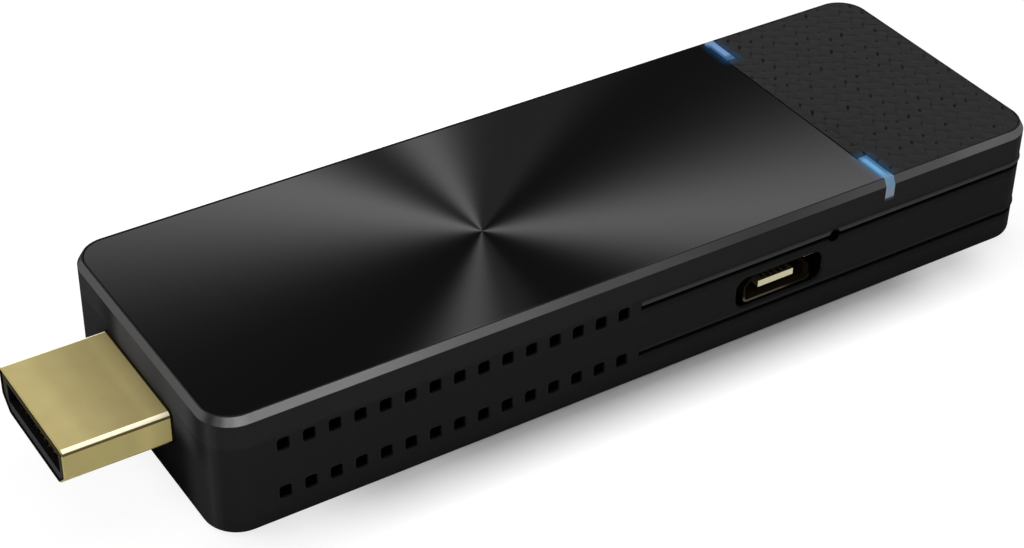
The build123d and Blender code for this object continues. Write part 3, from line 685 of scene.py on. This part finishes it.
def new_tree(name, sizes):
    """A Geometry Nodes tree with one named input for each size: the tree, its inputs, its end."""
    tree = bpy.data.node_groups.new(name, "GeometryNodeTree")
    tree.interface.new_socket("Geometry", in_out="INPUT", socket_type="NodeSocketGeometry")
    for size_name, value in sizes.items():
        kind = "NodeSocketInt" if isinstance(value, int) else "NodeSocketFloat"
        tree.interface.new_socket(size_name, in_out="INPUT", socket_type=kind)
    tree.interface.new_socket("Geometry", in_out="OUTPUT", socket_type="NodeSocketGeometry")
    return tree, tree.nodes.new("NodeGroupInput").outputs, tree.nodes.new("NodeGroupOutput")


def end_tree(tree, geometry, finish, end):
    """End a tree: every copy is made real and gets its finish."""
    real = put(tree, "GeometryNodeRealizeInstances", {0: geometry}).outputs[0]
    coated = put(tree, "GeometryNodeSetMaterial", {0: real, "Material": finish}).outputs[0]
    feed(tree, end, {0: coated})


def grow(piece, tree, sizes):
    """Run a tree on a piece with the given sizes, and keep the result as its plain mesh."""
    modifier = piece.modifiers.new(tree.name, "NODES")
    modifier.node_group = tree
    for socket in tree.interface.items_tree:
        if socket.in_out == "INPUT" and socket.name in sizes:
            modifier[socket.identifier] = sizes[socket.name]
    evaluated = piece.evaluated_get(bpy.context.evaluated_depsgraph_get())
    mesh = bpy.data.meshes.new_from_object(evaluated)
    piece.modifiers.clear()
    piece.data = mesh


def strip_between(name, stations, width, thickness, finish):
    """A strip in the XZ plane through stations (x, z) of its upper face, as wide as asked."""
    points, faces = [], []
    half = width / 2
    for x, z in stations:
        points += [(x, -half, z), (x, half, z), (x, half, z - thickness), (x, -half, z - thickness)]
    for station in range(len(stations) - 1):
        a = 4 * station
        for side in range(4):
            b = (side + 1) % 4
            faces.append((a + side, a + b, a + 4 + b, a + 4 + side))
    last = 4 * (len(stations) - 1)
    faces += [(3, 2, 1, 0), (last, last + 1, last + 2, last + 3)]
    return mesh_piece(name, points, faces, finish)


slot_half = (contact_high.z - contact_low.z) / 2
stations = []
for step in range(contact_bow_steps + 1):
    share = step / contact_bow_steps
    bow = math.sin(math.pi * share) ** 2 * contact_bow
    stations.append((contact_low.x + share * contact_bow_start, slot_half - bow))
stations.append((contact_high.x, slot_half))
contact_sizes = {
    "Pitch": contact_pitch,
    "Upper count": contact_counts[0],
    "Lower count": contact_counts[1],
    "Level": (contact_low.z + contact_high.z) / 2,
}
tree, sizes, end = new_tree("contact_rows", contact_sizes)
rows = put(tree, "GeometryNodeJoinGeometry")
for row, turned in (("Upper count", 0.0), ("Lower count", math.pi)):
    length = calc(tree, "MULTIPLY", calc(tree, "SUBTRACT", sizes[row], 1.0), sizes["Pitch"])
    first = {"Y": calc(tree, "MULTIPLY", length, -0.5), "Z": sizes["Level"]}
    line = put(tree, "GeometryNodeMeshLine", {
        "Count": sizes[row],
        "Start Location": put(tree, "ShaderNodeCombineXYZ", first).outputs[0],
        "Offset": put(tree, "ShaderNodeCombineXYZ", {"Y": sizes["Pitch"]}).outputs[0],
    }).outputs[0]
    copies = put(tree, "GeometryNodeInstanceOnPoints", {
        "Points": line, "Instance": sizes["Geometry"], "Rotation": (turned, 0.0, 0.0),
    }).outputs[0]
    feed(tree, rows, {0: copies})
end_tree(tree, rows.outputs[0], contact_bright, end)
plug_springs = strip_between(
    "plug_contact_springs", stations, contact_width, contact_thickness, contact_bright
)
grow(plug_springs, tree, contact_sizes)
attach(plug_springs, "housing")
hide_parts("plug_contacts")

# Power socket: a small gold plated shell with a flared mouth, round a tongue of black moulding. It
# is soldered into a notch of the board behind its slot. Painted shade dulls the shell to a fiftieth
# of its gold and darkens its inside further, painted light lies on its lip, fading upwards and
# along the shell, and a painted highlight makes a pale band along the front of the tongue.
# Painted shade on the shell and its inside, and painted light on its lip.
socket_shade_level = 0.02
socket_inside_shade = (0.010, 0.007, 0.004)
socket_lip_light = (0.120, 0.106, 0.070)
socket_lip_light_up = ((0.0, 1.0), (0.00035, 0.85), (0.0008, 0.12), (0.0030, 0.06))
socket_lip_light_along = ((0.0, 1.6), (0.0008, 1.0), (0.0052, 0.8), (0.0068, 0.15), (0.0080, 0.1))
socket_low, socket_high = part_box("socket_shell")
socket_gold, tree, shader, satin = gold_plating("socket_gold", (9.0, 1.0, 9.0))
axes = split(tree, place_on(tree))
painted_lip_light = socket_lip_light
for axis, start, stops in (("Z", socket_low.z, socket_lip_light_up), ("X", socket_low.x, socket_lip_light_along)):
    from_start = calc(tree, "SUBTRACT", axes[axis], start)
    painted_lip_light = times(tree, painted_lip_light, curve(tree, from_start, stops))
inner = faces_in(tree, {
    "X": (socket_low.x + socket_high.x) / 2, "Z": (socket_low.z + socket_high.z) / 2,
})
plated = blended(tree, inner, times(tree, satin, socket_shade_level), socket_inside_shade)
on_lip = calc(tree, "LESS_THAN", facing_of(tree)["Y"], mouth_facing)
feed(tree, shader, {"Base Color": blended(tree, on_lip, plated, painted_lip_light)})
coat(socket_gold, "socket_shell")

tongue_dark = (0.030, 0.024, 0.014)
tongue_pale = (0.050, 0.040, 0.024)
# Painted highlight along the front of the tongue, with a gold edge.
cap_highlight_dark = (0.62, 0.58, 0.36)
cap_highlight_pale = (0.76, 0.72, 0.50)
cap_highlight_rim = (0.36, 0.27, 0.06)
cap_edge = ((0.0, 1.0), (0.00012, 0.7), (0.00022, 0.0))
tongue_low, tongue_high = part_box("socket_tongue")
cap_from = tongue_low.x + 0.0010
tongue_black, tree, shader, moulded, height = grained(
    "connector_tongue", tongue_dark, tongue_pale, size=0.00012, roughness=(0.35, 0.50),
    depth=0.000004, specular=0.10,
)
axes = split(tree, place_on(tree))
from_foot = calc(tree, "SUBTRACT", axes["Z"], tongue_low.z)
from_edge = calc(tree, "MINIMUM", from_foot, calc(tree, "SUBTRACT", tongue_high.z, axes["Z"]))
cap_highlight = blended(tree, height, cap_highlight_dark, cap_highlight_pale)
cap_highlight = blended(tree, curve(tree, from_edge, cap_edge), cap_highlight, cap_highlight_rim)
on_front = calc(tree, "LESS_THAN", facing_of(tree)["Y"], mouth_facing)
on_cap = calc(tree, "MULTIPLY", on_front, calc(tree, "GREATER_THAN", axes["X"], cap_from))
feed(tree, shader, {"Base Color": blended(tree, on_cap, moulded, cap_highlight)})
coat(tongue_black, "socket_tongue")

# Reset switch: a small black switch on the board behind the pinhole, with the plunger that the pin
# pushes in. Both are fine grained black mouldings.
switch_black, *_ = grained(
    "switch_black", dark=(0.020, 0.020, 0.021), pale=(0.036, 0.036, 0.038), size=0.00010,
    roughness=(0.45, 0.60), depth=0.000005, specular=0.2,
)
coat(switch_black, "reset_switch_base", "reset_plunger")

# Light sources: two lamps on the board, each a white reflector cup cast full of clear yellow
# resin, right under the legs of the light bars.
cup_dark = (0.70, 0.70, 0.68)
cup_pale = (0.80, 0.80, 0.78)
cup_roughness = 0.5
lens_yellow = (0.85, 0.75, 0.25)
lens_roughness = 0.12
lens_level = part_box("near_light_source")[1].z - 0.0003
lens, tree, shader, cup, _ = grained(
    "light_source_lens", cup_dark, cup_pale, size=0.0002, detail=2.0, roughness=cup_roughness
)
on_lens = calc(tree, "GREATER_THAN", split(tree, place_on(tree))["Z"], lens_level)
feed(tree, shader, {
    "Base Color": blended(tree, on_lens, cup, lens_yellow),
    "Roughness": between(tree, on_lens, cup_roughness, lens_roughness),
})
coat(lens, "near_light_source", "far_light_source")

# Screws: four small pan heads under the plate and the panel, blackened steel, with the fine rings
# of the lathe on their heads.
screw_black, *_ = grained(
    "screw_steel", dark=(0.07, 0.07, 0.075), pale=(0.16, 0.16, 0.165), size=0.0006, detail=2.0,
    stretch=(1.0, 1.0, 20.0), roughness=(0.30, 0.48), metallic=1.0,
)
coat(screw_black, "housing_screws")

# Adhesive: two die cut sheets of grey double sided tape in the recess of the cover, with the faint
# fibres of their carrier.
tape_grey, *_ = grained(
    "tape_grey", dark=(0.09, 0.09, 0.09), pale=(0.17, 0.17, 0.165), size=0.0009, detail=5.0,
    stretch=(1.0, 5.0, 1.0), roughness=0.8, depth=0.00001,
)
coat(tape_grey, "plate_adhesive", "panel_adhesive")

# Light bars: clear blue light guides at both ends of the dividing line, folded over the edge and
# lit from below. Each is palest along its middle, and turns grey and dark where it is folded down.
bar_low, bar_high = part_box("near_light_bar")
bar_middle = (bar_low.x + bar_high.x) / 2
bar_half = (bar_high.x - bar_low.x) / 2
bar_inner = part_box("far_light_bar")[0].y
bar_foot = bar_high.z - 0.00245
bar_fold = (bar_high.z - 0.0004, bar_high.z - 0.0018)
bar_outer = ((0.0136, 0.0), (0.0150, 1.0))
near_core = ((0.0, 0.35), (0.00030, 1.0), (0.00050, 1.0), (0.00085, 0.10), (0.00110, 0.0))
far_core = ((0.0, 0.0), (0.00020, 0.08), (0.00045, 1.0), (0.00090, 1.0), (0.00110, 0.30))
core_end = ((bar_inner, 0.15), (bar_inner + 0.0007, 1.0), (bar_inner + 0.0045, 1.0))
far_core_shorter = 0.0005
near_dim = (0.016, 0.055, 0.110)
near_bright = (0.115, 0.300, 0.500)
far_dim = (0.002, 0.010, 0.040)
far_bright = (0.128, 0.222, 0.420)
outer_glow = (0.118, 0.190, 0.270)
fold_glow = (0.150, 0.150, 0.160)
foot_tone = ((bar_foot, 0.06), (bar_foot + 0.00022, 0.12), (bar_foot + 0.00045, 1.0))
guide_dark = (0.010, 0.035, 0.080)
guide_pale = (0.016, 0.055, 0.110)
guide_cloud = 0.0012
cloud_strength = (0.85, 1.15)
guide_blue, tree, shader = new_finish("light_guide_blue")
axes = split(tree, place_on(tree))
across = calc(tree, "SUBTRACT", axes["X"], bar_low.x)
outwards = calc(tree, "ABSOLUTE", axes["Y"])
on_far = calc(tree, "GREATER_THAN", axes["Y"], 0.0)
core = blended(tree, on_far, curve(tree, across, near_core), curve(tree, across, far_core))
along_core = calc(tree, "MULTIPLY_ADD", on_far, -far_core_shorter, outwards)
core = calc(tree, "MULTIPLY", core, curve(tree, along_core, core_end))
glow = blended(
    tree, core, blended(tree, on_far, near_dim, far_dim),
    blended(tree, on_far, near_bright, far_bright),
)
glow = blended(tree, curve(tree, outwards, bar_outer), glow, outer_glow)
glow = blended(tree, part_way(tree, axes["Z"], *bar_fold), glow, fold_glow)
foot = curve(tree, axes["Z"], foot_tone)
cloud = grain(tree, place_on(tree), guide_cloud, detail=2.0)
feed(tree, shader, {
    "Base Color": times(tree, blended(tree, cloud, guide_dark, guide_pale), foot),
    "Emission Color": times(tree, glow, foot),
    "Emission Strength": between(tree, cloud, *cloud_strength),
    "Roughness": 0.30,
    "Specular IOR Level": 0.10,
})
coat(guide_blue, "near_light_bar", "far_light_bar")

# Top plate: thin aluminium, turned on a spinning table and dyed black. The fine rings round its
# middle draw its gloss out along them, and painted reflections lie in its colour as fans, each
# given by its direction, its spread to either side in degrees and its strength. Beside the light
# bars a painted blue glow lies on the plate.
spin_middle = (housing_front + 0.0342, -0.0023)
plate_dark = 0.0055
plate_tint = (1.0, 1.0, 1.02)
# Painted reflections: fans of light in the colour of the plate.
reflection_fans = (
    (128.0, 17.5, 30.0, 0.1182),
    (79.5, 12.0, 11.0, 0.0887),
    (41.0, 8.5, 60.0, 0.0127),
    (-23.0, 23.0, 21.0, 0.0993),
    (-106.0, 8.5, 9.5, 0.0088),
    (-125.5, 10.0, 11.0, 0.0593),
)
ring_pitch = 0.00016
ring_tone = (0.92, 1.08)
plate_roughness = (0.30, 0.40)
plate_axis = (0.0, 0.0, 1.0)
# Painted blue glow of the bars on the plate beside them.
plate_bar_reach = 0.0012
plate_bar_glow = (0.004, 0.040, 0.095)


def lit_by_bars(tree, shader, reach, colour):
    """Paint the glow of the bars on a surface, fading out within a reach beside them."""
    axes = split(tree, place_on(tree))
    across = calc(tree, "ABSOLUTE", calc(tree, "SUBTRACT", axes["X"], bar_middle))
    across = calc(tree, "MAXIMUM", calc(tree, "SUBTRACT", across, bar_half), 0.0)
    inwards = calc(tree, "SUBTRACT", bar_inner, calc(tree, "ABSOLUTE", axes["Y"]))
    away = distance(tree, across, calc(tree, "MAXIMUM", inwards, 0.0))
    fade = calc(tree, "POWER", part_way(tree, away, reach, 0.0), 2.0)
    feed(tree, shader, {"Emission Strength": fade, "Emission Color": (*colour, 1.0)})


spun_black, tree, shader = new_finish("spun_black")
from_middle = place_on(tree, centre=(*spin_middle, 0.0))
axes = split(tree, from_middle)
turn = calc(tree, "ARCTAN2", axes["Y"], axes["X"])
dye_and_reflections = plate_dark
for middle, spread_before, spread_after, strength in reflection_fans:
    off = calc(tree, "DEGREES", calc(tree, "SUBTRACT", turn, math.radians(middle)))
    off = calc(tree, "WRAP", off, 180.0, -180.0)
    after = calc(tree, "DIVIDE", off, spread_after)
    off = calc(tree, "MAXIMUM", after, calc(tree, "DIVIDE", off, -spread_before))
    fade = calc(tree, "EXPONENT", calc(tree, "MULTIPLY", calc(tree, "MULTIPLY", off, off), -1.0))
    dye_and_reflections = calc(tree, "MULTIPLY_ADD", fade, strength, dye_and_reflections)
ring = calc(tree, "DIVIDE", distance(tree, axes["X"], axes["Y"]), ring_pitch)
rings = put(
    tree, "ShaderNodeTexNoise", {"W": ring, "Scale": 1.0, "Detail": 3.0}, noise_dimensions="1D"
).outputs["Fac"]
dye_and_reflections = calc(tree, "MULTIPLY", dye_and_reflections, between(tree, rings, *ring_tone))
along_ring = put(
    tree, "ShaderNodeVectorMath", {0: from_middle, 1: plate_axis}, operation="CROSS_PRODUCT"
).outputs[0]
along_ring = put(
    tree, "ShaderNodeVectorMath", {0: along_ring}, operation="NORMALIZE"
).outputs[0]
feed(tree, shader, {
    "Base Color": times(tree, dye_and_reflections, plate_tint),
    "Metallic": 1.0,
    "Roughness": between(tree, rings, *plate_roughness),
    "Anisotropic": 0.6,
    "Specular Tint": (0.5, 0.5, 0.5, 1.0),
    "Tangent": along_ring,
})
lit_by_bars(tree, shader, plate_bar_reach, plate_bar_glow)
coat(spun_black, "spun_plate")

# Woven panel: a black moulding let into the cover behind the dividing line. Its face has a pressed
# relief like a twill, of flat strands that run slantwise both ways, each over two and under two,
# with small pits where strands cross. Painted shade darkens the low places of the relief, the pits
# most, and a painted blue glow of the bars lies beside them.
panel_dark = (0.0070, 0.0070, 0.0073)
panel_pale = (0.0125, 0.0125, 0.0129)
# Painted shade by depth below the face, darkest in the pits.
pit_shade = ((0.0, 1.0), (0.00005, 1.0), (0.00010, 0.58), (0.00018, 0.25), (0.00026, 0.15))
# Painted blue glow of the bars on the panel beside them.
panel_bar_reach = 0.0014
panel_bar_glow = (0.002, 0.032, 0.075)
panel_low, panel_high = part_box("textured_panel")
panel_black, tree, shader, moulded, _ = grained(
    "panel_black", panel_dark, panel_pale, size=0.00014, roughness=(0.42, 0.58),
    depth=0.000006, specular=0.05,
)
depth = calc(tree, "SUBTRACT", panel_high.z, split(tree, place_on(tree))["Z"])
feed(tree, shader, {"Base Color": times(tree, moulded, curve(tree, depth, pit_shade))})
lit_by_bars(tree, shader, panel_bar_reach, panel_bar_glow)

panel_corner = 0.00283
panel_gap = 0.00015
panel_rows = 245
flat_columns = 137
bend_columns = 20
notch_end = bar_high.x + panel_gap
notch_side = bar_inner - panel_gap
notch_step = 1e-6
bend_start = panel_high.x - panel_corner
flat_part = np.linspace(panel_low.x, bend_start, flat_columns)
flat_part[np.argmin(abs(flat_part - notch_end))] = notch_end - notch_step
flat_part = np.insert(flat_part, np.searchsorted(flat_part, notch_end), notch_end)
bend_turns = np.linspace(0, math.pi / 2, bend_columns + 1)[1:]
column_x = np.concatenate([flat_part, bend_start + panel_corner * np.sin(bend_turns)])
column_half = np.where(column_x < notch_end, notch_side, panel_high.y)
past_bend = np.clip(column_x - bend_start, 0, panel_corner)
column_half = column_half - panel_corner + np.sqrt(panel_corner ** 2 - past_bend ** 2)
row_share = np.linspace(-1, 1, panel_rows)
points = [
    (x, share * half, panel_high.z) for x, half in zip(column_x, column_half) for share in row_share
]
column_starts = [column * panel_rows for column in range(len(column_x))]
faces = [
    (start + row, start + panel_rows + row, start + panel_rows + row + 1, start + row + 1)
    for start in column_starts[:-1] for row in range(panel_rows - 1)
]
edge = list(column_starts)
edge += [column_starts[-1] + row for row in range(1, panel_rows)]
edge += [start + panel_rows - 1 for start in reversed(column_starts[:-1])]
edge += list(range(panel_rows - 2, 0, -1))
first_low = len(points)
points += [(points[i][0], points[i][1], panel_low.z) for i in edge]
count = len(edge)
faces += [
    (edge[i], first_low + i, first_low + (i + 1) % count, edge[(i + 1) % count])
    for i in range(count)
]
faces.append(tuple(first_low + i for i in reversed(range(count))))
woven_panel = mesh_piece("woven_panel", points, faces, panel_black)

strand_turn = math.radians(54.0)
strand_edges = (1.40, 0.10)
edge_power = 6.0
edge_patch = 0.0025
patch_strength = (-0.3, 2.1)
wave_height = 1.2
pit_seed = 7.0
pit_half_sizes = (0.34, 0.15)
face_margin = 0.00001
weave_sizes = {
    "Strand pitch": 0.00120, "Relief": 0.00008, "Pit depth": 0.00016, "Face level": panel_high.z,
}
tree, sizes, end = new_tree("twill_relief", weave_sizes)
where = put(tree, "GeometryNodeInputPosition").outputs[0]
axes = split(tree, where)
turn_x, turn_y = math.cos(strand_turn), math.sin(strand_turn)
lanes = []
for x_part, y_part in ((turn_x, turn_y), (turn_y, -turn_x)):
    reach = calc(tree, "MULTIPLY_ADD", axes["X"], x_part, calc(tree, "MULTIPLY", axes["Y"], y_part))
    lanes.append(calc(tree, "DIVIDE", reach, sizes["Strand pitch"]))
patchy = between(tree, grain(tree, where, edge_patch, detail=1.0), *patch_strength)
patchy = calc(tree, "MAXIMUM", patchy, 0.0)
tops = []
for run, other, wave_reach, strand_edge in (
    (lanes[0], lanes[1], wave_height, strand_edges[0]),
    (lanes[1], lanes[0], -wave_height, strand_edges[1]),
):
    off_middle = calc(tree, "SUBTRACT", calc(tree, "FRACT", other), 0.5)
    to_edge = calc(tree, "MULTIPLY", calc(tree, "ABSOLUTE", off_middle), 2.0)
    edge_drop = calc(tree, "MULTIPLY", calc(tree, "POWER", to_edge, edge_power), patchy)
    crown = calc(tree, "MULTIPLY_ADD", edge_drop, -strand_edge, 1.0)
    phase = calc(tree, "MULTIPLY", calc(tree, "ADD", run, calc(tree, "FLOOR", other)), math.pi / 2)
    wave = calc(tree, "MULTIPLY", calc(tree, "SINE", phase), wave_reach)
    lift = calc(tree, "MAXIMUM", calc(tree, "MULTIPLY_ADD", wave, 0.5, 0.5), 0.0)
    tops.append(calc(tree, "MULTIPLY", crown, calc(tree, "MINIMUM", lift, 1.0)))
sunk = calc(tree, "SUBTRACT", calc(tree, "MAXIMUM", *tops), 1.0)
sunk = calc(tree, "MULTIPLY", sunk, sizes["Relief"])
nearest = [calc(tree, "ROUND", lane) for lane in lanes]
spread = []
for lane, whole, half in zip(lanes, nearest, pit_half_sizes):
    off_pit = calc(tree, "DIVIDE", calc(tree, "SUBTRACT", lane, whole), half)
    spread.append(calc(tree, "MULTIPLY", off_pit, off_pit))
hollow = calc(tree, "MAXIMUM", calc(tree, "SUBTRACT", 1.0, calc(tree, "ADD", *spread)), 0.0)
every_second = calc(tree, "FLOORED_MODULO", calc(tree, "ADD", *nearest), 2.0)
hollow = calc(tree, "MULTIPLY", hollow, calc(tree, "LESS_THAN", every_second, 0.5))
crossing = put(tree, "ShaderNodeCombineXYZ", {"X": nearest[0], "Y": nearest[1], "Z": pit_seed})
chance = put(
    tree, "ShaderNodeTexWhiteNoise", {"Vector": crossing.outputs[0]}, noise_dimensions="3D"
).outputs["Value"]
pit = calc(tree, "MULTIPLY", hollow, calc(tree, "MULTIPLY", chance, sizes["Pit depth"]))
face_from = calc(tree, "SUBTRACT", sizes["Face level"], face_margin)
on_face = calc(tree, "GREATER_THAN", axes["Z"], face_from)
sunk = calc(tree, "MULTIPLY", calc(tree, "SUBTRACT", sunk, pit), on_face)
shift = put(tree, "ShaderNodeCombineXYZ", {"Z": sunk}).outputs[0]
moved = put(tree, "GeometryNodeSetPosition", {"Geometry": sizes["Geometry"], "Offset": shift})
end_tree(tree, moved.outputs[0], panel_black, end)
grow(woven_panel, tree, weave_sizes)
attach(woven_panel, "housing")
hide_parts("textured_panel")
